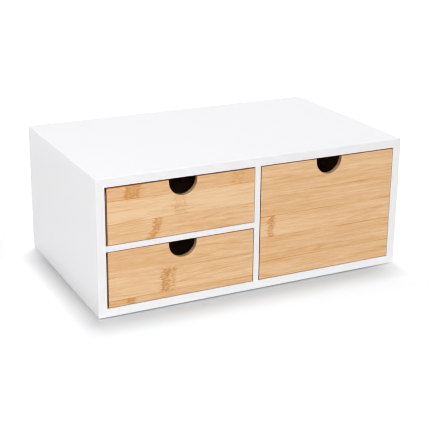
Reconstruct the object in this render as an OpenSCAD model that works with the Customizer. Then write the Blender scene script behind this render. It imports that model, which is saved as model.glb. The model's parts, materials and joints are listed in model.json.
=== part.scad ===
// Desktop mini drawers: a painted board case with two shallow drawers beside a deep one.
// Each panel, drawer board and foot is a solid of its own, and the dowels and brads that join
// them sit in holes of their own. +X runs to the right, +Y to the back and +Z up. The origin
// is on the table, under the centre of the case.

/* [Case] */
// Width of the case
case_w = 340; // [300:1:420]
// Depth of the case, front to back
case_d = 210; // [170:1:260]
// Height of the case above its feet
case_h = 140; // [120:1:180]
// Thickness of the top, bottom and side panels
panel_t = 9; // [8:0.5:12]
// Thickness of the divider and the shelf
inner_t = 6; // [5:0.5:9]
// Width of the left bay, which holds the two shallow drawers
left_bay_w = 158; // [110:1:180]
// Height of the lower bay on the left
lower_bay_h = 58; // [44:1:70]
// Radius of the outer edges of the case
edge_r = 1; // [0.4:0.1:2]
// Width of the bevel round the mouth of each bay
mouth_arris = 0.3; // [0.1:0.1:0.8]

/* [Case joints] */
// Thickness of the back panel
back_t = 3; // [2:0.5:4]
// Width of the rebate that the back panel sits in
rebate_w = 5; // [4:0.5:6]
// Gap between the edge of the back panel and its rebate
back_fit = 0.2; // [0.1:0.05:0.5]
// Depth of the housings that hold the divider and the shelf
housing_d = 2; // [1:0.25:2.25]
// Distance that the housings stop short of the front
housing_stop = 8; // [5:1:20]
// Diameter of the dowels between the sides and the top and bottom
dowel_d = 5; // [4:0.5:6]
// Length of the dowels
dowel_l = 18; // [14:1:24]
// Length of each dowel that lies in the top or bottom panel
dowel_bite = 5.5; // [4:0.5:6.5]
// Distance from the front and back of the case to the nearest dowel
dowel_inset = 28; // [24:1:45]
// Number of dowels in each joint
dowel_count = 3; // [2:1:5]
// Glue gap round a dowel, and beyond its inner end
dowel_fit = 0.05; // [0.02:0.01:0.15]

/* [Feet] */
// Diameter of the foot pads
foot_d = 12; // [8:1:20]
// Thickness of the foot pads
foot_t = 1.5; // [1:0.25:3]
// Radius of the lower rim of a foot pad
foot_round = 0.7; // [0.2:0.1:0.9]
// Distance from the edges of the case to the centre of a foot pad
foot_inset = 18; // [12:1:30]

/* [Drawers] */
// Thickness of the drawer fronts
front_t = 5; // [5:0.5:8]
// Thickness of the drawer sides
side_t = 6; // [5:0.5:8]
// Thickness of the board at the back of a drawer
rear_t = 6; // [5:0.5:8]
// Thickness of the drawer bases
base_t = 3; // [2:0.5:4]
// Height of the base above the running edge of the sides
base_up = 4; // [3:0.5:8]
// Depth of the grooves that hold the base
groove_d = 2.5; // [1.5:0.25:2.5]
// Gap over the base and beside it in its grooves
groove_fit = 0.2; // [0.1:0.05:0.3]
// Depth of the rebates at the ends of the drawer fronts
end_rebate_d = 3; // [2.5:0.25:3.5]
// Depth of the rebates in the sides for the board at the back
rear_rebate_d = 3; // [2:0.25:3.5]
// Distance from the top of a front down to the top of its sides
side_drop = 5; // [3:0.5:10]
// Width of the finger notches
finger_w = 29.5; // [22:0.5:31]
// Depth of the finger notches
finger_h = 17; // [15.5:0.5:24]
// Width of the bevel round the face of a front and its notch
arris = 0.5; // [0.3:0.1:1]

/* [Running gaps] */
// Gap beside a shallow drawer, when it runs in the middle of its bay
small_side_gap = 1.25; // [1.25:0.05:2]
// Gap beside the deep drawer, when it runs in the middle of its bay
deep_side_gap = 0.7; // [0.7:0.05:1.5]
// How far the upper drawer rests to the right of the middle of its bay
upper_shift = 0.95; // [-0.95:0.05:0.95]
// How far the lower drawer rests to the right of the middle of its bay
lower_shift = 0.65; // [-0.95:0.05:0.95]
// How far the deep drawer rests to the right of the middle of its bay
deep_shift = 0.4; // [-0.4:0.05:0.4]
// Gap over the front of the upper drawer
upper_top_gap = 1.3; // [0.5:0.05:2]
// Gap over the front of the lower drawer
lower_top_gap = 0.75; // [0.5:0.05:2]
// Gap over the front of the deep drawer
deep_top_gap = 1.05; // [0.5:0.05:2]
// Gap under a drawer front
front_lift = 0.4; // [0.4:0.1:1.5]
// Gap under the running edges of a drawer
glide_gap = 0.3; // [0.1:0.05:0.4]
// Distance of a closed drawer front behind the front of the case
recess = 0.5; // [0:0.1:3]
// Gap between a closed drawer and the back panel
stop_gap = 0.5; // [0.3:0.1:2]

/* [Brads] */
// Diameter of a brad
brad_d = 1.2; // [1:0.1:1.6]
// Length of a brad
brad_l = 15; // [12:1:18]
// Diameter of a brad's head
brad_head_d = 2.2; // [1.8:0.1:2.8]
// Thickness of a brad's head
brad_head_t = 0.5; // [0.3:0.1:0.8]
// Gap round a brad in its hole
brad_fit = 0.05; // [0.02:0.01:0.1]
// Distance from the edges of a drawer side to its nearest brad
brad_margin = 12; // [10:0.5:16]
// Widest spacing of the brads along a drawer corner
brad_pitch = 34; // [20:1:45]
// Widest spacing of the brads round the back panel
back_brad_pitch = 92; // [50:1:120]
// Distance from the edges of the case to the nearest brad along them
back_brad_inset = 36; // [30:1:50]

/* [Hidden] */
$fn = 48;
eps = 0.5; // how far a cutter runs past the face that it opens

paint = [0.96, 0.96, 0.95];
bamboo = [0.89, 0.72, 0.49];
box_wood = [0.86, 0.72, 0.52];
ply = [0.80, 0.66, 0.47];
beech = [0.83, 0.66, 0.46];
rubber = [0.75, 0.75, 0.74];
steel = [0.70, 0.70, 0.72];

half_w = case_w / 2;
half_d = case_d / 2;
x_in = half_w - panel_t;                 // inner face of each side panel
y_back = half_d - back_t;                // front face of the back panel
z_floor = foot_t + panel_t;              // upper face of the bottom panel
z_roof = foot_t + case_h - panel_t;      // underside of the top panel
room_h = z_roof - z_floor;
x_div = left_bay_w - x_in;               // left face of the divider
z_shelf = z_floor + lower_bay_h;         // underside of the shelf
z_upper = z_shelf + inner_t;             // upper face of the shelf

// Each bay is [name, left edge, floor, width, height], and then for its drawer
// [gap beside it, shift to the right, gap over it]
bays = [
    [
        "upper_left", -x_in, z_upper, left_bay_w, z_roof - z_upper,
        [small_side_gap, upper_shift, upper_top_gap]
    ],
    [
        "lower_left", -x_in, z_floor, left_bay_w, lower_bay_h,
        [small_side_gap, lower_shift, lower_top_gap]
    ],
    [
        "right", x_div + inner_t, z_floor, x_in - x_div - inner_t, room_h,
        [deep_side_gap, deep_shift, deep_top_gap]
    ]
];
CASE_NODES = [
    "top_panel", "bottom_panel", "left_side_panel", "right_side_panel", "back_panel",
    "divider", "shelf", "case_dowels", "back_brads", "feet"
];
DRAWER_PIECES = ["front", "left_side", "right_side", "back", "base", "brads"];

function bay_x(bay) = bay[1];
function bay_z(bay) = bay[2];
function bay_w(bay) = bay[3];
function bay_h(bay) = bay[4];
function side_gap(bay) = bay[5][0];
function shift(bay) = bay[5][1];
function top_gap(bay) = bay[5][2];

// Numbers from a to b, both included, no further apart than pitch
function spread(a, b, pitch) =
    let (steps = max(1, ceil((b - a) / pitch - 0.001)))
    [for (i = [0:steps]) a + (b - a) * i / steps];

// ---- Shared shapes ----

// A rectangle a by b with round corners, pulled up to the height h, centred
module round_prism(a, b, h) {
    linear_extrude(height = h, center = true) {
        square([a - 2 * edge_r, b], center = true);
        square([a, b - 2 * edge_r], center = true);
        for (sx = [-1, 1], sy = [-1, 1])
            translate([sx * (a / 2 - edge_r), sy * (b / 2 - edge_r)]) circle(edge_r);
    }
}

// The outside of the case, with every edge rounded
module case_outside() {
    translate([0, 0, foot_t + case_h / 2]) intersection() {
        round_prism(case_w, case_d, case_h);
        rotate([90, 0, 0]) round_prism(case_w, case_h, case_d);
        rotate([90, 0, 90]) round_prism(case_d, case_h, case_w);
    }
}

// A box of the case between two corners
module case_block(low, high) {
    intersection() {
        case_outside();
        translate(low) cube(high - low);
    }
}

// What the bevel round the mouth of a bay takes off: wide at the front and closing inwards
module bay_mouth(bay) {
    wide = mouth_arris + eps;
    translate([bay_x(bay), -half_d, bay_z(bay)]) intersection() {
        translate([0, 0, -wide]) linear_extrude(height = bay_h(bay) + 2 * wide)
            polygon([
                [-wide, -eps], [bay_w(bay) + wide, -eps],
                [bay_w(bay), mouth_arris], [0, mouth_arris]
            ]);
        translate([-wide, 0, 0])
            rotate([90, 0, 90]) linear_extrude(height = bay_w(bay) + 2 * wide)
                polygon([
                    [-eps, -wide], [mouth_arris, 0],
                    [mouth_arris, bay_h(bay)], [-eps, bay_h(bay) + wide]
                ]);
    }
}

module bay_mouths() {
    for (bay = bays) bay_mouth(bay);
}

// The rebated pocket at the back, or with a gap the panel that fills it
module back_blank(gap = 0, past = 0) {
    reach = rebate_w - gap;
    translate([-x_in - reach, y_back, z_floor - reach])
        cube([2 * (x_in + reach), back_t + past, room_h + 2 * reach]);
}

// The divider, whose ends are housed in the top and bottom panels behind the front
module divider_blank() {
    translate([x_div, -half_d, z_floor]) cube([inner_t, y_back + half_d, room_h]);
    translate([x_div, housing_stop - half_d, z_floor - housing_d])
        cube([inner_t, y_back + half_d - housing_stop, room_h + 2 * housing_d]);
}

// The shelf, housed in the left side panel and the divider behind the front
module shelf_blank() {
    translate([-x_in, -half_d, z_shelf]) cube([left_bay_w, y_back + half_d, inner_t]);
    translate([-x_in - housing_d, housing_stop - half_d, z_shelf])
        cube([left_bay_w + 2 * housing_d, y_back + half_d - housing_stop, inner_t]);
}

// A brad along +Z with its point at the origin, or with a gap the hole for it
module brad(gap = 0) {
    cylinder(h = brad_l, d = brad_d + 2 * gap);
    translate([0, 0, brad_l - brad_head_t])
        cylinder(h = brad_head_t + (gap > 0 ? eps : 0), d = brad_head_d + 2 * gap);
}

// ---- Fastenings of the case ----

// A dowel along +Z with small chamfers at its ends
module dowel() {
    chamfer = dowel_d / 8;
    cylinder(h = chamfer, d1 = dowel_d - 2 * chamfer, d2 = dowel_d);
    translate([0, 0, chamfer]) cylinder(h = dowel_l - 2 * chamfer, d = dowel_d);
    translate([0, 0, dowel_l - chamfer])
        cylinder(h = chamfer, d1 = dowel_d, d2 = dowel_d - 2 * chamfer);
}

// Puts its children where each dowel of the case starts, in the top or bottom panel
module at_dowels() {
    pitch = (case_d - 2 * dowel_inset) / (dowel_count - 1);
    for (sx = [-1, 1], i = [0:dowel_count - 1])
        translate([sx * (x_in + panel_t / 2), dowel_inset - half_d + i * pitch, 0]) {
            translate([0, 0, z_floor - dowel_bite]) children();
            translate([0, 0, z_roof + dowel_bite]) mirror([0, 0, 1]) children();
        }
}

module dowel_holes() {
    at_dowels() cylinder(h = dowel_l + dowel_fit, d = dowel_d + 2 * dowel_fit);
}

// The rows of brads along the top and bottom edges of the back panel, and up its sides
across = spread(back_brad_inset - half_w, half_w - back_brad_inset, back_brad_pitch);
upward = spread(
    foot_t + back_brad_inset, foot_t + case_h - back_brad_inset, back_brad_pitch
);
rim = rebate_w / 2;
back_brad_points = concat(
    [for (x = across, z = [z_floor - rim, z_roof + rim]) [x, z]],
    [for (x = [-x_in - rim, x_in + rim], z = upward) [x, z]]
);

// Puts its children where each brad of the back panel ends, pointing out of the back
module at_back_brads() {
    for (p = back_brad_points)
        translate([p[0], half_d - brad_l, p[1]]) rotate([-90, 0, 0]) children();
}

module back_brad_holes() {
    at_back_brads() brad(brad_fit);
}

// ---- Case ----

module top_panel() {
    color(paint) difference() {
        case_block([-half_w, -half_d, z_roof], [half_w, half_d, z_roof + panel_t]);
        bay_mouths();
        back_blank(past = eps);
        divider_blank();
        dowel_holes();
        back_brad_holes();
    }
}

module bottom_panel() {
    color(paint) difference() {
        case_block([-half_w, -half_d, foot_t], [half_w, half_d, z_floor]);
        bay_mouths();
        back_blank(past = eps);
        divider_blank();
        dowel_holes();
        back_brad_holes();
    }
}

module left_side_panel() {
    color(paint) difference() {
        case_block([-half_w, -half_d, z_floor], [-x_in, half_d, z_roof]);
        bay_mouths();
        back_blank(past = eps);
        shelf_blank();
        dowel_holes();
        back_brad_holes();
    }
}

module right_side_panel() {
    color(paint) difference() {
        case_block([x_in, -half_d, z_floor], [half_w, half_d, z_roof]);
        bay_mouths();
        back_blank(past = eps);
        dowel_holes();
        back_brad_holes();
    }
}

module back_panel() {
    color(paint) difference() {
        back_blank(gap = back_fit);
        back_brad_holes();
    }
}

module divider() {
    color(paint) difference() {
        divider_blank();
        shelf_blank();
        bay_mouths();
    }
}

module shelf() {
    color(paint) difference() {
        shelf_blank();
        bay_mouths();
    }
}

module case_dowels() {
    color(beech) at_dowels() dowel();
}

module back_brads() {
    color(steel) at_back_brads() brad();
}

// A soft pad whose lower rim is rounded
module foot_pad() {
    r = foot_d / 2;
    rotate_extrude() {
        square([r - foot_round, foot_t]);
        translate([0, foot_round]) square([r, foot_t - foot_round]);
        translate([r - foot_round, foot_round]) circle(foot_round);
    }
}

module feet() {
    color(rubber)
        for (sx = [-1, 1], sy = [-1, 1])
            translate([sx * (half_w - foot_inset), sy * (half_d - foot_inset), 0])
                foot_pad();
}

// ---- Drawers ----
// A drawer is drawn as it runs in the middle of its bay, and then shifted to where it rests. The
// origin is the bay's lower left corner at the front of the case.

front_y = recess + front_t - end_rebate_d;  // front end of the sides
rear_y = case_d - back_t - stop_gap;        // rear end of a drawer
base_z = glide_gap + base_up;               // underside of a base
base_y = recess + front_t - groove_d;       // bottom of the groove in a front

function front_top(bay) = bay_h(bay) - top_gap(bay);
function side_top(bay) = front_top(bay) - side_drop;

module in_bay(bay) {
    translate([bay_x(bay) + shift(bay), -half_d, bay_z(bay)]) children();
}

// Draws its children at the left of the bay, or mirrored at the right
module at_end(bay, right) {
    if (right) translate([bay_w(bay), 0, 0]) mirror([1, 0, 0]) children();
    else children();
}

// A board w by t by h whose front face has a bevel along its four edges
module bevelled_board(w, t, h) {
    intersection() {
        linear_extrude(height = h)
            polygon([[arris, 0], [w - arris, 0], [w, arris], [w, t], [0, t], [0, arris]]);
        rotate([90, 0, 90]) linear_extrude(height = w)
            polygon([[arris, 0], [t, 0], [t, h], [arris, h], [0, h - arris], [0, arris]]);
    }
}

// The half-round notch in the top edge of a front, bevelled at both faces
module finger_notch(bay) {
    r = finger_w / 2;
    neck = finger_h - r;                    // straight stretch above the half round
    flare = r + arris + eps;
    translate([bay_w(bay) / 2, recess + front_t / 2, front_top(bay) - neck])
        for (face = [0, 1]) mirror([0, face, 0]) {
            deep = front_t / 2 - arris;     // from the middle of the board to the bevel
            rotate([-90, 0, 0]) cylinder(h = deep, r = r);
            translate([0, deep, 0]) rotate([-90, 0, 0])
                cylinder(h = arris + eps, r1 = r, r2 = flare);
            linear_extrude(height = neck + eps)
                polygon([
                    [-r, 0], [r, 0], [r, deep], [flare, deep + arris + eps],
                    [-flare, deep + arris + eps], [-r, deep]
                ]);
        }
}

// Puts its children where each brad of a drawer corner ends, with +Z out of the drawer's side
module at_corner_brads(bay) {
    heights = spread(glide_gap + brad_margin, side_top(bay) - brad_margin, brad_pitch);
    rows = [front_y + end_rebate_d / 2, rear_y - rear_t / 2];
    for (right = [false, true], y = rows, z = heights)
        at_end(bay, right) translate([side_gap(bay) + brad_l, y, z]) rotate([0, -90, 0]) children();
}

module corner_brad_holes(bay) {
    at_corner_brads(bay) brad(brad_fit);
}

module drawer_front(bay) {
    top = front_top(bay);
    color(bamboo) difference() {
        translate([side_gap(bay), recess, front_lift])
            bevelled_board(bay_w(bay) - 2 * side_gap(bay), front_t, top - front_lift);
        finger_notch(bay);
        for (right = [false, true])
            at_end(bay, right) translate([side_gap(bay) - eps, front_y, 0])
                cube([side_t + eps, end_rebate_d + eps, top + eps]);
        translate([side_gap(bay), base_y, base_z])
            cube([bay_w(bay) - 2 * side_gap(bay), groove_d + eps, base_t + groove_fit]);
        corner_brad_holes(bay);
    }
}

module drawer_side(bay, right) {
    color(box_wood) difference() {
        at_end(bay, right) difference() {
            translate([side_gap(bay), front_y, glide_gap])
                cube([side_t, rear_y - front_y, side_top(bay) - glide_gap]);
            translate([side_gap(bay) + side_t - groove_d, front_y - eps, base_z])
                cube([groove_d + eps, rear_y - front_y + 2 * eps, base_t + groove_fit]);
            translate([side_gap(bay) + side_t - rear_rebate_d, rear_y - rear_t, 0])
                cube([rear_rebate_d + eps, rear_t + eps, bay_h(bay)]);
        }
        corner_brad_holes(bay);
    }
}

module drawer_back(bay) {
    inset = side_gap(bay) + side_t - rear_rebate_d;
    bottom = base_z + base_t;
    color(box_wood) difference() {
        translate([inset, rear_y - rear_t, bottom])
            cube([bay_w(bay) - 2 * inset, rear_t, side_top(bay) - bottom]);
        corner_brad_holes(bay);
    }
}

module drawer_base(bay) {
    inset = side_gap(bay) + side_t - groove_d + groove_fit;
    front = base_y + groove_fit;
    color(ply) translate([inset, front, base_z])
        cube([bay_w(bay) - 2 * inset, rear_y - front, base_t]);
}

module drawer_brads(bay) {
    color(steel) at_corner_brads(bay) brad();
}

// ---- The nodes ----

top_panel();
bottom_panel();
left_side_panel();
right_side_panel();
back_panel();
divider();
shelf();
case_dowels();
back_brads();
feet();
for (bay = bays) {
    drawer = str(bay[0], "_drawer_");
    in_bay(bay) drawer_front(bay);
    in_bay(bay) drawer_side(bay, false);
    in_bay(bay) drawer_side(bay, true);
    in_bay(bay) drawer_back(bay);
    in_bay(bay) drawer_base(bay);
    in_bay(bay) drawer_brads(bay);
}
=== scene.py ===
# Desktop mini drawers: a white painted case and three bamboo drawers, dressed over the solids.
# Everything is in metres, with +X to the right, +Y to the back and +Z up.
import json
import math
import random

import bmesh
import bpy
from mathutils import Matrix, Vector


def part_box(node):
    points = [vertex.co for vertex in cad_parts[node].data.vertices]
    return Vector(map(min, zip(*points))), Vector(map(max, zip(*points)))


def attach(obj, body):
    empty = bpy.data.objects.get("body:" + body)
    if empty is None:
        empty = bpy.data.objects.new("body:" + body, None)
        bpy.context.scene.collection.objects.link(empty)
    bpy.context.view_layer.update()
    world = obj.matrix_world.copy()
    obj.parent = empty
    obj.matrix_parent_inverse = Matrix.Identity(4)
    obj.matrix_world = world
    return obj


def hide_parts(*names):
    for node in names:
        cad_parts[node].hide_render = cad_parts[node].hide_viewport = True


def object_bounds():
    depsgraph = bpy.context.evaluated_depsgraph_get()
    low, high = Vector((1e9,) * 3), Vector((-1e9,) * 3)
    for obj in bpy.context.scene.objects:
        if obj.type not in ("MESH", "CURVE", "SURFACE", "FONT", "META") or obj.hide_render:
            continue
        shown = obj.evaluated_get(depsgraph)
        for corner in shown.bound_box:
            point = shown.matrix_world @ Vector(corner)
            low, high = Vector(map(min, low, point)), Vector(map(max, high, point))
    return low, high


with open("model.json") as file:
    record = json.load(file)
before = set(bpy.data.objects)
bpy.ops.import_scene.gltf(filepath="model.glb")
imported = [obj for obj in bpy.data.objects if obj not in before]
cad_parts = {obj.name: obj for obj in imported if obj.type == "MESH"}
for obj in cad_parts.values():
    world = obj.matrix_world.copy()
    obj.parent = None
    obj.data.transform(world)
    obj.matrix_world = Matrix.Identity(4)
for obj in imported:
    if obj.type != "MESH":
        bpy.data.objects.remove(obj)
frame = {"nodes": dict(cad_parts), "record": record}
cad_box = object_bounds()
nodes = frame["nodes"]

MM = 0.001
X, Y, Z = 0, 1, 2
BLACK = (0, 0, 0)
WHITE = (1, 1, 1)

# Sizes that the boards share with the solids
NOTCH_WIDTH = 29.5 * MM
NOTCH_DEPTH = 17 * MM
GROOVE_FIT = 0.2 * MM           # gap over a base and beside it in its grooves
BRAD_HEAD_DEEP = 0.5 * MM       # thickness of a brad's head
BRAD_FIT = 0.05 * MM            # gap round a brad's head and under it

# How the boards are eased
FACE_ROUND = 0.4 * MM           # round the face of a front and its notch
FOOT_ROUND = FACE_ROUND / 3     # along the lower edge of that face
EDGE_ROUND = 0.3 * MM           # along the other long edges
BASE_ROUND = EDGE_ROUND / 2     # round a thin base

# How the boards are glued up and marked
SIDE_STRIP = 7 * MM             # about the width of a strip in a side or a back
EDGE_DEEP = 1 * MM              # faces this near to where the strips begin are the board's edge
TOP_EDGE_SHADE = 0.45                # painted shade: how far the top edge of a front is darkened, for the gap above it

# How the modelling tells places, faces and edges apart
TOUCH = 0.01 * MM               # closer than this, two places are the same
ONE_HEAD = 3 * MM               # closer than this, two corners belong to the same brad's head
PAST = 5 * MM                   # how far a cutter stands past what it cuts
FACING = 0.9                    # a face whose normal is over this on an axis looks that way
SHARP = math.radians(30)        # faces that turn by more than this meet in a sharp edge
SMOOTH = math.radians(40)       # faces that turn by less than this are shaded as one

# The floor at large, and close before the case: a cooler, darker colour painted against the
# bamboo's warm light
FLOOR_COLOUR = (0.966, 0.955, 0.959)
FLOOR_COLOUR_BEFORE = (0.842, 0.922, 0.99)


# ---- Strips: what a bamboo board is glued up from ----

class Knuckle:
    """A joint of the stalk, which crosses a strip as two ragged bars with a stain between them.

    It lies at a place along the board, from its middle, the bars are a spread apart, and dark is
    how strongly it shows, from 0 to 1. The mark leans along the strip by so many millimetres for
    each one across it."""

    def __init__(self, place, spread, dark, lean=0.0):
        self.place = place
        self.spread = spread
        self.dark = dark
        self.lean = lean

    def mark(self, middle):
        """Its place, spread and lean on a board whose middle is at a given place."""
        return middle + self.place, self.spread, self.lean


class Strip:
    """One strip of a board: its width, its tone from pale (below 0) to dark, and its knuckles,
    of which it has two at most."""

    def __init__(self, width, tone, *knuckles):
        self.width = width
        self.tone = tone
        self.knuckles = (knuckles + (NO_KNUCKLE, NO_KNUCKLE))[:2]


NO_KNUCKLE = Knuckle(9.0, 0.0, 0.0)    # far beyond the end of any board

# The strips of each front, from its top edge down
FRONT_STRIPS = {
    "upper_left": (
        Strip(13.5 * MM, 0.10, Knuckle(-51 * MM, 11 * MM, 0.85), Knuckle(60 * MM, 9 * MM, 0.35)),
        Strip(22.5 * MM, -0.27, Knuckle(-3 * MM, 9 * MM, 0.40)),
        Strip(21.0 * MM, -0.04, Knuckle(-29.5 * MM, 4 * MM, 0.85, lean=-0.42)),
    ),
    "lower_left": (
        Strip(26.0 * MM, 0.04),
        Strip(24.5 * MM, -0.07, Knuckle(-18.5 * MM, 5.2 * MM, 1.0), Knuckle(-10 * MM, 0.0, 0.5)),
        Strip(7.0 * MM, 0.14, Knuckle(-55.5 * MM, 5 * MM, 0.8)),
    ),
    "right": (
        Strip(30.5 * MM, 0.01),
        Strip(22.5 * MM, 0.05),
        Strip(23.0 * MM, -0.08, Knuckle(-66 * MM, 3 * MM, 0.8)),
        Strip(25.0 * MM, 0.06),
        Strip(20.0 * MM, 0.05),
    ),
}
BAYS = tuple(FRONT_STRIPS)


# ---- Materials: a wrapped socket, and one way to add a node ----

class Wire:
    """A socket that carries a value through a material. Arithmetic on wires adds Math nodes."""

    def __init__(self, socket):
        self.socket = socket

    def math(self, operation, *others):
        """A Math node with this value first."""
        return add_node(self.socket.id_data, "ShaderNodeMath", {"operation": operation},
                        [self, *others])

    def __add__(self, other):
        return self.math("ADD", other)

    def __sub__(self, other):
        return self.math("SUBTRACT", other)

    def __mul__(self, other):
        return self.math("MULTIPLY", other)

    def __truediv__(self, other):
        return self.math("DIVIDE", other)

    def __pow__(self, other):
        return self.math("POWER", other)

    def __rsub__(self, number):
        return add_node(self.socket.id_data, "ShaderNodeMath", {"operation": "SUBTRACT"},
                        [number, self])

    __radd__ = __add__
    __rmul__ = __mul__

    def unsigned(self):
        """How far the value is from 0."""
        return self.math("ABSOLUTE")

    def clamped(self):
        """The value kept from 0 to 1."""
        return add_node(self.socket.id_data, "ShaderNodeClamp", {}, [self])

    def bell(self, width):
        """1 where the value is 0, falling off smoothly on both sides over the width."""
        return ((self / width) ** 2 * -1).math("EXPONENT")

    def step(self, low, high):
        """0 below low and 1 above high, with a smooth rise between them."""
        return add_node(self.socket.id_data, "ShaderNodeMapRange",
                        {"interpolation_type": "SMOOTHSTEP"},
                        {"Value": self, "From Min": low, "From Max": high})


def add_node(tree, kind, settings, values, output=0):
    """Adds a node. Its settings come first, then its sockets, by place or by name."""
    node = tree.nodes.new(kind)
    for name, value in settings.items():
        setattr(node, name, value)
    places = values.items() if isinstance(values, dict) else enumerate(values)
    for place, value in places:
        if isinstance(value, Wire):
            tree.links.new(value.socket, node.inputs[place])
        else:
            node.inputs[place].default_value = value
    return Wire(node.outputs[output])


class Finish:
    """A material in the making: the nodes that its recipe adds feed one Principled shader."""

    def __init__(self, name, colour, roughness, metallic=0.0):
        self.material = bpy.data.materials.new(name)
        self.material.use_nodes = True
        self.tree = self.material.node_tree
        self.shader = self.tree.nodes["Principled BSDF"]
        self.shader.inputs["Base Color"].default_value = (*colour, 1)
        self.shader.inputs["Roughness"].default_value = roughness
        self.shader.inputs["Metallic"].default_value = metallic

    def node(self, kind, settings, values, output=0):
        return add_node(self.tree, kind, settings, values, output)

    def feed(self, name, wire):
        """Links a wire to one of the shader's sockets."""
        self.tree.links.new(wire.socket, self.shader.inputs[name])

    def place(self):
        """The place of a point on the object, as three wires."""
        return self.split(self.node("ShaderNodeTexCoord", {}, [], output="Object"))

    def attribute(self, name):
        """A vector that the mesh carries, as three wires."""
        return self.split(self.node("ShaderNodeAttribute", {"attribute_name": name}, [],
                                    output="Vector"))

    def split(self, vector):
        return [self.node("ShaderNodeSeparateXYZ", {}, [vector], output=i) for i in (X, Y, Z)]

    def noise(self, x, y, z, detail, roughness=0.5):
        """Soft noise from 0 to 1, over coordinates that are already scaled."""
        point = self.node("ShaderNodeCombineXYZ", {}, [x, y, z])
        return self.node("ShaderNodeTexNoise", {"noise_dimensions": "3D"},
                         {"Vector": point, "Scale": 1.0, "Detail": detail,
                          "Roughness": roughness})

    def mix(self, amount, colour_a, colour_b):
        """Two colours mixed by a wire from 0 to 1. Each may be a wire or three numbers."""
        values = {0: amount}
        for place, colour in ((6, colour_a), (7, colour_b)):
            values[place] = colour if isinstance(colour, Wire) else (*colour, 1)
        return self.node("ShaderNodeMix", {"data_type": "RGBA"}, values, output=2)

    def bump(self, height, distance):
        """Raises the surface by a wire from 0 to 1, times the distance."""
        self.feed("Normal", self.node("ShaderNodeBump", {},
                                      {"Distance": distance, "Height": height}))


# ---- Finishes ----

def white_paint():
    """Sprayed satin white: a faint orange peel and a trace of unevenness in tone and gloss."""
    finish = Finish("satin_white_paint", (0.87, 0.87, 0.875), 0.36)
    x, y, z = finish.place()
    cloud = finish.noise(x * 14, y * 14, z * 14, detail=3)
    peel = finish.noise(x * 620, y * 620, z * 620, detail=2)
    fine = finish.noise(x * 2600, y * 2600, z * 2600, detail=1)
    finish.feed("Base Color", finish.mix(cloud, (0.862, 0.862, 0.868), (0.878, 0.878, 0.884)))
    finish.feed("Roughness", 0.31 + cloud * 0.1)
    finish.bump(peel * 0.8 + fine * 0.2, 0.02 * MM)
    return finish.material


def knuckle_marks(finish, along, across, seed, attribute):
    """The mottled mark of a knuckle and the pale halo round it, both from 0 to 1."""
    place, spread, lean = finish.attribute(attribute)
    zigzag = finish.noise(across * 150, seed * 5, 0.0, detail=1) - 0.5
    ragged = finish.noise(along * 260, across * 650, seed * 5, detail=3) - 0.5
    reach = along - place
    off = reach - across * lean + zigzag * (9 * MM) + ragged * (9 * MM)
    bars = (off.unsigned() - spread * 0.5).bell(1.9 * MM)
    stain = (off / (spread * 0.5 + 2 * MM)).bell(1.0)
    mottle = finish.noise(along * 260, across * 620, seed * 5, detail=3).step(0.34, 0.66)
    mark = bars.math("MAXIMUM", stain * 0.75) * (0.30 + mottle * 0.75)
    return mark, reach.bell(13 * MM) * (1 - stain)


def bamboo(name, roughness):
    """Laminated bamboo under a clear matt lacquer: strips of unlike tone with dark knuckles."""
    finish = Finish(name, (0.77, 0.48, 0.24), roughness)
    along, across, through = finish.attribute("grain")
    tone, width, seed = finish.attribute("strip")
    first_dark, second_dark, end_grain_and_shade = finish.attribute("darkness")
    from_middle = across - width * 0.5
    first, first_halo = knuckle_marks(finish, along, from_middle, seed, "knuckle")
    second, second_halo = knuckle_marks(finish, along, from_middle, seed, "second_knuckle")
    knot = first * first_dark + second * second_dark
    halo = first_halo * first_dark + second_halo * second_dark

    # Fibres, streaks and bands run along the strip, each coarser than the one before. All of them
    # wander sideways, most of all beside a knuckle.
    wave = finish.noise(along * 10, across * 45, seed * 5, detail=1) - 0.5
    bent = across + wave * (1 + halo * 4) * (2 * MM)
    fibre = finish.noise(along * 90, bent * 1100, through * 1100, detail=3, roughness=0.6)
    streak = finish.noise(along * 24, bent * 420, through * 420 + seed, detail=3, roughness=0.6)
    band = finish.noise(along * 8, bent * 100, through * 100 + seed, detail=2)

    # Thin dark veins come and go in patches, and short dashes lie in the halo of a knuckle
    vein = (finish.noise(along * 7, bent * 95, through * 95 + seed, detail=1) - 0.5).bell(0.022)
    patch = finish.noise(along * 15, across * 60, seed * 9, detail=1).step(0.47, 0.62)
    dash = finish.noise(along * 75, bent * 420, seed * 9, detail=1).step(0.56, 0.7)

    # The glue line at each edge of a strip is broken, and end grain shows its pores
    edge = across.bell(0.7 * MM) + (width - across).bell(0.7 * MM)
    broken = finish.noise(along * 12, seed * 9, 0.0, detail=1).step(0.40, 0.60)
    pore = finish.noise(along * 60, across * 1500, through * 1500, detail=1).step(0.45, 0.65)

    depth = (0.33 + tone + (fibre - 0.5) * 0.72 + (streak - 0.5) * 0.98 + (band - 0.5) * 0.6
             + vein * patch * 0.3 + edge * broken * 0.5 + dash * halo * 0.35 - halo * 0.08
             + knot * 0.97)
    wood = finish.mix(depth.clamped(), (0.838, 0.578, 0.325), (0.638, 0.268, 0.048))
    wood = finish.mix(knot * 0.3, wood, (0.50, 0.25, 0.105))
    # End grain is darker than the face, and darker still here: painted shade for the gaps round a
    # front and its notch. The top edge of a front takes this painted shade too.
    wood = finish.mix(end_grain_and_shade * (0.75 + pore * 0.25), wood, (0.27, 0.095, 0.025))
    finish.feed("Base Color", wood)
    finish.feed("Roughness", (roughness - 0.06) + fibre * 0.12 + knot * 0.1 + end_grain_and_shade * 0.3)
    finish.bump(fibre * 0.6 + streak * 0.4 - edge * 0.4, 0.03 * MM)
    return finish.material


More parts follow.
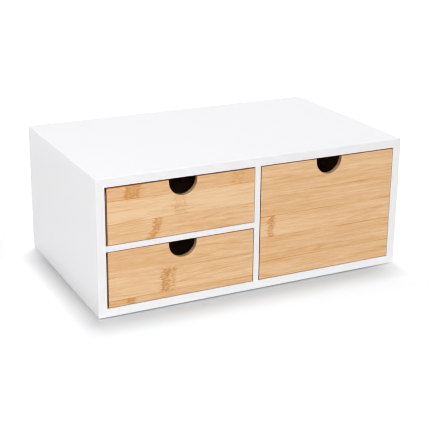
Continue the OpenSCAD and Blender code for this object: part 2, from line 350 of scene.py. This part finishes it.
def birch_ply():
    """Bare rotary-cut ply: broad soft figure with short dark pores, grain along Y."""
    finish = Finish("bare_ply", (0.66, 0.46, 0.27), 0.6)
    x, y, z = finish.place()
    warp = finish.noise(x * 9, y * 3, z * 3, detail=2) - 0.5
    figure = finish.noise(x * 55 + warp * 3, y * 4, z * 60, detail=3)
    fibre = finish.noise(x * 900, y * 22, z * 900, detail=2)
    pore = finish.noise(x * 1500, y * 90, z * 1500, detail=1).step(0.64, 0.74)
    depth = (0.15 + figure * 0.6 + (fibre - 0.5) * 0.5).clamped()
    wood = finish.mix(depth, (0.76, 0.58, 0.37), (0.58, 0.385, 0.21))
    wood = finish.mix(pore * 0.35, wood, (0.30, 0.17, 0.08))
    finish.feed("Base Color", wood)
    finish.bump(fibre - pore * 0.6, 0.04 * MM)
    return finish.material


def beech():
    """Bare beech dowel: fine fibres along Z with short dark flecks."""
    finish = Finish("bare_beech", (0.62, 0.42, 0.26), 0.6)
    x, y, z = finish.place()
    fibre = finish.noise(x * 1300, y * 1300, z * 50, detail=2)
    fleck = finish.noise(x * 900, y * 900, z * 260, detail=1).step(0.62, 0.7)
    wood = finish.mix(fibre, (0.68, 0.47, 0.30), (0.54, 0.35, 0.20))
    finish.feed("Base Color", finish.mix(fleck * 0.4, wood, (0.35, 0.19, 0.10)))
    finish.bump(fibre, 0.03 * MM)
    return finish.material


def wire_steel():
    """Bright drawn steel, a little dulled in patches."""
    finish = Finish("wire_steel", (0.56, 0.56, 0.57), 0.34, metallic=1.0)
    x, y, z = finish.place()
    dull = finish.noise(x * 700, y * 700, z * 700, detail=2)
    finish.feed("Base Color", finish.mix(dull, (0.60, 0.60, 0.61), (0.46, 0.45, 0.44)))
    finish.feed("Roughness", 0.26 + dull * 0.24)
    finish.bump(dull, 0.01 * MM)
    return finish.material


def foot_rubber():
    """Soft grey bumper rubber, slightly uneven."""
    finish = Finish("grey_rubber", (0.42, 0.42, 0.42), 0.5)
    x, y, z = finish.place()
    grain = finish.noise(x * 900, y * 900, z * 900, detail=2)
    finish.feed("Base Color", finish.mix(grain, (0.40, 0.40, 0.40), (0.46, 0.46, 0.45)))
    finish.feed("Roughness", 0.44 + grain * 0.16)
    finish.bump(grain, 0.02 * MM)
    return finish.material


# ---- Modelling: steps on the piece that is being made ----

def start_box(name, low, high):
    """A box between two corners, left in edit mode."""
    bpy.ops.object.select_all(action="DESELECT")
    middle = [(a + b) / 2 for a, b in zip(low, high)]
    size = [b - a for a, b in zip(low, high)]
    bpy.ops.mesh.primitive_cube_add(size=1, location=middle, scale=size)
    piece = bpy.context.object
    piece.name = piece.data.name = name
    bpy.ops.object.transform_apply(location=True, rotation=True, scale=True)
    bpy.ops.object.mode_set(mode="EDIT")
    return piece


def select(piece, kind, wanted):
    """Selects the faces or edges that are wanted, and nothing else."""
    bpy.ops.mesh.select_mode(type=kind)
    bpy.ops.mesh.select_all(action="DESELECT")
    mesh = bmesh.from_edit_mesh(piece.data)
    for element in (mesh.faces if kind == "FACE" else mesh.edges):
        if wanted(element):
            element.select_set(True)
    bmesh.update_edit_mesh(piece.data)


def cut(axis, place):
    """Cuts what is selected at a place on an axis, and keeps both halves."""
    normal = [0, 0, 0]
    normal[axis] = 1
    bpy.ops.mesh.bisect(plane_co=[place * n for n in normal], plane_no=normal)


def extrude(axis, distance):
    """Raises the selected faces along an axis."""
    shift = [0, 0, 0]
    shift[axis] = distance
    bpy.ops.mesh.extrude_region_move(TRANSFORM_OT_translate={"value": shift})


def round_over(width, segments):
    """Rounds the selected edges."""
    bpy.ops.mesh.bevel(offset=width, segments=segments, profile=0.5, affect="EDGES")


def same(a, b):
    return abs(a - b) < TOUCH


def lies_at(edge, axis, place):
    """Whether both ends of an edge are at a place on an axis."""
    return all(same(corner.co[axis], place) for corner in edge.verts)


def is_sharp(edge):
    return edge.calc_face_angle(0) > SHARP


def leave_edit_mode():
    """Goes back to whole objects, with none of them selected."""
    bpy.ops.object.mode_set(mode="OBJECT")
    bpy.ops.object.select_all(action="DESELECT")


def pick_up(piece):
    """Makes a piece the one object that is selected and active."""
    leave_edit_mode()
    bpy.context.view_layer.objects.active = piece
    piece.select_set(True)


def cut_away(piece, cutter):
    """Takes the cutter out of the piece, which is left in edit mode."""
    pick_up(piece)
    taken = piece.modifiers.new("cut", "BOOLEAN")
    taken.operation = "DIFFERENCE"
    taken.solver = "EXACT"
    taken.object = cutter
    bpy.ops.object.modifier_apply(modifier=taken.name)
    bpy.data.objects.remove(cutter)
    bpy.ops.object.mode_set(mode="EDIT")


def finish_mesh(piece):
    """Smooths the rounded edges of a piece and keeps its flat faces flat."""
    pick_up(piece)
    bpy.ops.object.shade_smooth_by_angle(angle=SMOOTH)
    even = piece.modifiers.new("even_shading", "WEIGHTED_NORMAL")
    even.keep_sharp = True
    bpy.ops.object.modifier_apply(modifier=even.name)


def lay_strips(piece, strips, start, way, axes, middle, draw, first_edge_shade=0.0):
    """Cuts a board where its strips meet, and writes each strip's facts on its faces.

    axes are those along the strips, across them and through the board. The first strip begins
    at start on the axis across, and way is 1 or -1, the way that the strips follow each other.
    middle is the board's middle along the strips, and draw gives each strip its seed.
    first_edge_shade is how far the edge where the strips begin is darkened, from 0 to 1, as
    painted shade for the gap above it; it is stored with the end grain."""
    along, across, through = axes
    joints = [0.0]
    for strip in strips:
        joints.append(joints[-1] + strip.width)
    for joint in joints[1:-1]:
        bpy.ops.mesh.select_all(action="SELECT")
        cut(across, start + way * joint)
    bpy.ops.object.mode_set(mode="OBJECT")

    mesh = piece.data
    kinds = ("strip", "knuckle", "second_knuckle", "darkness")
    mesh.attributes.new("grain", "FLOAT_VECTOR", "CORNER")
    for kind in kinds:
        mesh.attributes.new(kind, "FLOAT_VECTOR", "FACE")
    grain = mesh.attributes["grain"].data
    facts = {kind: mesh.attributes[kind].data for kind in kinds}
    seeds = [draw.uniform(0, 40) for _ in strips]
    for face in mesh.polygons:
        reach = (face.center[across] - start) * way
        number = max(i for i in range(len(strips)) if joints[i] <= max(reach, 0))
        strip, seed = strips[number], seeds[number]
        shift = seed - middle
        for corner in face.loop_indices:
            place = mesh.vertices[mesh.loops[corner].vertex_index].co
            grain[corner].vector = (place[along] + shift,
                                    (place[across] - start) * way - joints[number],
                                    place[through])
        # How far a face is end grain; painted shade for the top edge of a front is added to it
        end_grain_and_shade = face.normal[along] ** 4
        # Painted shade: the top edge of a front, seen in the gap above it, takes the end grain's
        # dark colour
        if reach < EDGE_DEEP:
            end_grain_and_shade += max(-way * face.normal[across], 0) ** 2 * first_edge_shade
        first, second = strip.knuckles
        facts["strip"][face.index].vector = (strip.tone, strip.width, seed)
        facts["knuckle"][face.index].vector = first.mark(seed)
        facts["second_knuckle"][face.index].vector = second.mark(seed)
        facts["darkness"][face.index].vector = (first.dark, second.dark, end_grain_and_shade)


# ---- Boards of the drawers ----

def grooved_board(name, low, high, axis, way, block, steps, groove):
    """A board that is raised from its outer layer: a block stands on its inner face, and a groove
    for the base runs along the block.

    axis and way point inwards, and block is (axis, start, end). steps are the rise to the bottom
    of the groove and the rise from there, and groove is where its two lips are on Z."""
    piece = start_box(name, low, high)
    along, start, end = block

    def faces_inwards(face):
        return face.normal[axis] * way > FACING

    def in_block(face):
        return faces_inwards(face) and start < face.calc_center_median()[along] < end

    def beside_groove(face):
        return in_block(face) and not groove[0] < face.calc_center_median().z < groove[1]

    for place in (start, end):
        if low[along] + TOUCH < place < high[along] - TOUCH:
            select(piece, "FACE", faces_inwards)
            cut(along, place)
    select(piece, "FACE", in_block)
    extrude(axis, way * steps[0])
    for place in groove:
        select(piece, "FACE", in_block)
        cut(Z, place)
    select(piece, "FACE", beside_groove)
    extrude(axis, way * steps[1])
    return piece


def make_notch_cutter(x, top, face_y, back_y):
    """The half-round finger notch as a solid that stands past both faces and the top edge."""
    radius = NOTCH_WIDTH / 2
    centre = top - NOTCH_DEPTH + radius
    leave_edit_mode()
    bpy.ops.mesh.primitive_cylinder_add(
        vertices=96, radius=radius, depth=back_y - face_y + 2 * PAST,
        location=(x, (face_y + back_y) / 2, centre), rotation=(math.pi / 2, 0, 0))
    cutter = bpy.context.object
    bpy.ops.object.transform_apply(location=True, rotation=True, scale=True)
    bpy.ops.object.mode_set(mode="EDIT")
    bpy.ops.mesh.select_all(action="SELECT")
    bpy.ops.mesh.bisect(plane_co=(0, 0, centre), plane_no=(0, 0, 1), use_fill=True,
                        clear_outer=True)
    select(cutter, "FACE", lambda face: face.normal.z > FACING)
    extrude(Z, top - centre + PAST)
    bpy.ops.object.mode_set(mode="OBJECT")
    return cutter


def make_front(bay):
    """A drawer front: rebated ends, a groove for the base, the notch and rounded rims."""
    name = bay + "_drawer_"
    low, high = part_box(name + "front")
    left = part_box(name + "left_side")
    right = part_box(name + "right_side")
    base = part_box(name + "base")
    layer_y = left[0][Y]                    # back of the layer that covers the sides' ends
    groove_y = base[0][Y] - GROOVE_FIT
    groove = (base[0][Z], base[1][Z] + GROOVE_FIT)
    piece = grooved_board(bay + "_front_board", low, (high[X], layer_y, high[Z]), Y, 1,
                          (X, left[1][X], right[0][X]), (groove_y - layer_y, high[Y] - groove_y),
                          groove)
    middle = (low[X] + high[X]) / 2
    cut_away(piece, make_notch_cutter(middle, high[Z], low[Y], high[Y]))

    def rims_face(edge):
        return is_sharp(edge) and lies_at(edge, Y, low[Y])

    def rims_back(edge):
        return (is_sharp(edge) and lies_at(edge, Y, high[Y])
                and not any(lies_at(edge, Z, lip) for lip in groove))

    select(piece, "EDGE", lambda edge: rims_face(edge) and not lies_at(edge, Z, low[Z]))
    round_over(FACE_ROUND, 3)
    select(piece, "EDGE", lambda edge: rims_face(edge) and lies_at(edge, Z, low[Z]))
    round_over(FOOT_ROUND, 2)
    select(piece, "EDGE", rims_back)
    round_over(EDGE_ROUND, 2)
    # The front's top edge takes painted shade, for the gap above it
    lay_strips(piece, FRONT_STRIPS[bay], high[Z], -1, (X, Z, Y), middle, random.Random(bay),
               first_edge_shade=TOP_EDGE_SHADE)
    return piece


def side_strips(height, draw):
    """Narrow strips stood on edge, of mixed tones, from the lower edge of a board upwards.

    Each has a knuckle, which may lie past the end of the board."""
    count = max(1, round(height / SIDE_STRIP))
    strips = []
    for _ in range(count):
        knuckle = Knuckle(draw.uniform(-300, 300) * MM, draw.uniform(1, 4) * MM, 0.8)
        strips.append(Strip(height / count, draw.uniform(-0.2, 0.2), knuckle))
    return strips


def brad_heads(bay, face_x):
    """The middles of the brads' heads in one of a drawer's outer faces, and their radius."""
    corners = [v.co for v in nodes[bay + "_drawer_brads"].data.vertices if same(v.co.x, face_x)]
    heads = []
    for corner in corners:
        near = [head for head in heads if (head[0] - corner).length < ONE_HEAD]
        if near:
            near[0].append(corner)
        else:
            heads.append([corner])
    centres = [sum(head, Vector()) / len(head) for head in heads]
    return centres, max((heads[0][0] - corner).length for corner in heads[0]) / 2


def make_pit_cutter(centres, radius):
    """The pits for the heads of brads, as short cylinders along X that are joined to one object.

    Each is centred on the face of the board, so half of it stands out."""
    leave_edit_mode()
    pits = []
    for centre in centres:
        bpy.ops.mesh.primitive_cylinder_add(
            vertices=24, radius=radius + BRAD_FIT, depth=2 * (BRAD_HEAD_DEEP + BRAD_FIT),
            location=centre, rotation=(0, math.pi / 2, 0))
        pits.append(bpy.context.object)
    for pit in pits:
        pit.select_set(True)
    bpy.ops.object.join()
    bpy.ops.object.transform_apply(location=True, rotation=True, scale=True)
    return bpy.context.object


def make_side(bay, hand):
    """A drawer side: a groove for the base, a rebate for the back and pits for the brads."""
    name = bay + "_drawer_"
    low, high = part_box(name + hand + "_side")
    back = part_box(name + "back")
    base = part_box(name + "base")
    way = 1 if hand == "left" else -1
    outer, inner = (low[X], high[X]) if way > 0 else (high[X], low[X])
    rebate_x = back[0][X] if way > 0 else back[1][X]
    groove_x = (base[0][X] if way > 0 else base[1][X]) - way * GROOVE_FIT
    groove = (base[0][Z], base[1][Z] + GROOVE_FIT)
    piece = grooved_board(
        f"{bay}_{hand}_board", (min(outer, rebate_x), low[Y], low[Z]),
        (max(outer, rebate_x), high[Y], high[Z]), X, way, (Y, low[Y], back[0][Y]),
        ((groove_x - rebate_x) * way, (inner - groove_x) * way), groove)
    cut_away(piece, make_pit_cutter(*brad_heads(bay, outer)))
    select(piece, "EDGE", lambda edge: is_sharp(edge)
           and (lies_at(edge, Z, low[Z]) or lies_at(edge, Z, high[Z])))
    round_over(EDGE_ROUND, 2)
    draw = random.Random(bay + hand)
    lay_strips(piece, side_strips(high[Z] - low[Z], draw), low[Z], 1, (Y, Z, X),
               (low[Y] + high[Y]) / 2, draw)
    return piece


def make_back(bay):
    """The board at the back of a drawer, which stands on the base between the sides."""
    low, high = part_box(bay + "_drawer_back")
    piece = start_box(bay + "_back_board", low, high)
    select(piece, "EDGE", lambda edge: lies_at(edge, Z, high[Z]))
    round_over(EDGE_ROUND, 2)
    draw = random.Random(bay)
    lay_strips(piece, side_strips(high[Z] - low[Z], draw), low[Z], 1, (X, Z, Y),
               (low[X] + high[X]) / 2, draw)
    return piece


def make_base(bay):
    """The thin base, eased along its edges."""
    low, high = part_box(bay + "_drawer_base")
    piece = start_box(bay + "_base_board", low, high)
    select(piece, "EDGE", is_sharp)
    round_over(BASE_ROUND, 2)
    bpy.ops.object.mode_set(mode="OBJECT")
    return piece


# ---- Stage: camera, floor, surround and lamps ----

def make_camera():
    """The three-quarter view from the front left, a little above."""
    data = bpy.data.cameras.new("camera")
    data.sensor_width = 36
    data.lens = 87.9
    data.shift_y = -0.05
    camera = bpy.data.objects.new("camera", data)
    bpy.context.scene.collection.objects.link(camera)
    camera.location = (-0.4766, -0.9711, 0.4372)
    azimuth, down, roll = (math.radians(a) for a in (26.36, 18.64, 0.53))
    look = Vector((math.sin(azimuth) * math.cos(down), math.cos(azimuth) * math.cos(down),
                   -math.sin(down)))
    turn = look.to_track_quat("-Z", "Y").to_matrix() @ Matrix.Rotation(roll, 3, "Z")
    camera.rotation_euler = turn.to_euler()
    bpy.context.scene.camera = camera


def make_floor():
    """A wide white sheet that keeps the shadow of the case and turns pure white away from it.

    Close before the case its colour is cooler and darker: a painted tint against the warm light
    that the bamboo throws there. Right beside the case a faint painted shadow darkens it. Painted
    light, seen only by the camera and in mirrors, lightens the shadow a little before the case,
    under it and at its corners, least at the left front corner."""
    bpy.ops.object.select_all(action="DESELECT")
    bpy.ops.mesh.primitive_plane_add(size=24, location=(0, 0, 0))
    floor = bpy.context.object
    floor.name = "floor"
    finish = Finish("floor_white", FLOOR_COLOUR, 0.9)
    finish.shader.inputs["Specular IOR Level"].default_value = 0.0
    finish.shader.inputs["Emission Strength"].default_value = 1.0

    # How far a point lies from the case, and from the nearest of its corners. The second counts
    # less along Y.
    x, y, _ = finish.place()
    width, depth = (high - low for low, high in zip(cad_box[0][:2], cad_box[1][:2]))
    past_end = x.unsigned() - width / 2
    past_face = y.unsigned() - depth / 2
    away = (past_end.math("MAXIMUM", 0.0) ** 2 + past_face.math("MAXIMUM", 0.0) ** 2) ** 0.5
    to_corner = (past_end ** 2 + (past_face * 0.6) ** 2) ** 0.5

    # 1 on the stretch close before the case, fading to 0 round it
    before = (-1 * y).step(0.09, 0.12) * (y + 0.12).bell(0.06)
    before = before * (1 - x.unsigned().step(0.12, 0.21))
    # Before the case a cooler, darker colour is painted against the warm light that the bamboo
    # throws there
    colour = finish.mix(before, FLOOR_COLOUR, FLOOR_COLOUR_BEFORE)
    # Painted shadow: the floor's colour darkens a little right beside the case
    painted_shadow = 1 - away.step(0.0, 0.025)
    finish.feed("Base Color", finish.mix(painted_shadow * 0.06, colour, BLACK))

    # What the floor shows beyond the light that falls on it: the white it turns away from the
    # case, and painted light that lightens the shadow a little under the case, at its corners and
    # before it
    painted_light_under = 1 - away.step(0.0, 0.001)
    painted_corner_light = 0.05 + (x + y).step(-0.27, -0.06) * 0.2
    glow = (away.step(0.02, 0.10) * 0.07 + away.step(0.10, 0.9) * 0.55
            + to_corner.bell(0.02) * painted_corner_light + before * 0.035 + painted_light_under * 0.08)
    finish.feed("Emission Color", finish.mix(glow * seen_rays(finish.tree), BLACK, WHITE))
    floor.data.materials.append(finish.material)


def seen_rays(tree):
    """1 for a ray of the camera, or one that is mirrored or passes through, and 0 for light."""
    kinds = ("Is Camera Ray", "Is Glossy Ray", "Is Transmission Ray")
    return sum(add_node(tree, "ShaderNodeLightPath", {}, [], output=kind)
               for kind in kinds).clamped()


def light_world(low_down, above):
    """A white surround that lights by one strength from low down and by another from above.

    It is plain white where it is seen or mirrored."""
    world = bpy.data.worlds.new("studio")
    bpy.context.scene.world = world
    world.use_nodes = True
    tree = world.node_tree
    background = tree.nodes["Background"]
    background.inputs["Color"].default_value = (*WHITE, 1)
    direction = add_node(tree, "ShaderNodeTexCoord", {}, [], output="Generated")
    height = add_node(tree, "ShaderNodeSeparateXYZ", {}, [direction], output="Z")   # 1 overhead
    light = low_down + height.step(0.13, 0.21) * (above - low_down)
    level = light + seen_rays(tree) * (1 - light)
    tree.links.new(level.socket, background.inputs["Strength"])


def add_softbox(name, place, aim, size, power, colour=WHITE):
    """An area lamp at a place, turned to a point."""
    data = bpy.data.lights.new(name, "AREA")
    data.shape = "RECTANGLE"
    data.size, data.size_y = size
    data.energy = power
    data.color = colour
    lamp = bpy.data.objects.new(name, data)
    bpy.context.scene.collection.objects.link(lamp)
    lamp.location = place
    lamp.rotation_euler = (Vector(aim) - Vector(place)).to_track_quat("-Z", "Y").to_euler()
    return lamp


bpy.context.scene.view_settings.view_transform = "Standard"
bpy.context.scene.cycles.filter_width = 1.0     # sharper than the default of 1.5
make_camera()
make_floor()
light_world(low_down=1.57, above=0.41)
add_softbox("key", place=(0.08, 0.31, 2.7), aim=(0.08, 0.31, 0), size=(0.42, 0.62), power=33.8,
            colour=(0.975, 0.98, 1.0))
add_softbox("front_fill", place=(-0.15, -1.15, 0.05), aim=(0, 0, 0.07), size=(1.3, 0.08),
            power=1.4)
add_softbox("right_fill", place=(1.3, -0.1, 0.4), aim=(0.17, 0, 0), size=(0.8, 0.4), power=2.5)

# Two small cards close to the case, which light it without being seen or mirrored
left_card = add_softbox("left_card", place=(-0.45, -0.40, 0.50), aim=(-0.1, -0.05, 0.1),
                        size=(0.25, 0.25), power=0.68)
floor_card = add_softbox("floor_card", place=(0, -0.1135, 0.001), aim=(0, -0.1135, 1),
                         size=(0.35, 0.017), power=0.0095)
for card in (left_card, floor_card):
    card.visible_camera = False
    card.visible_glossy = False

finishes = {
    "painted_board": white_paint(),
    "bamboo": bamboo("lacquered_bamboo", 0.42),
    "drawer_wood": bamboo("sanded_bamboo", 0.55),
    "base_ply": birch_ply(),
    "dowel_wood": beech(),
    "foot_pad": foot_rubber(),
    "brad_steel": wire_steel(),
}
for subpart in frame["record"]["subparts"]:
    node = nodes[subpart["node"]]
    node.data.materials.clear()
    node.data.materials.append(finishes[subpart["material_slot"]])

for bay in BAYS:
    drawer = bay + "_drawer"
    boards = {
        "front": ("bamboo", make_front(bay)),
        "left_side": ("drawer_wood", make_side(bay, "left")),
        "right_side": ("drawer_wood", make_side(bay, "right")),
        "back": ("drawer_wood", make_back(bay)),
        "base": ("base_ply", make_base(bay)),
    }
    for role, (slot, piece) in boards.items():
        finish_mesh(piece)
        piece.data.materials.append(finishes[slot])
        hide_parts(f"{drawer}_{role}")
        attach(piece, drawer)
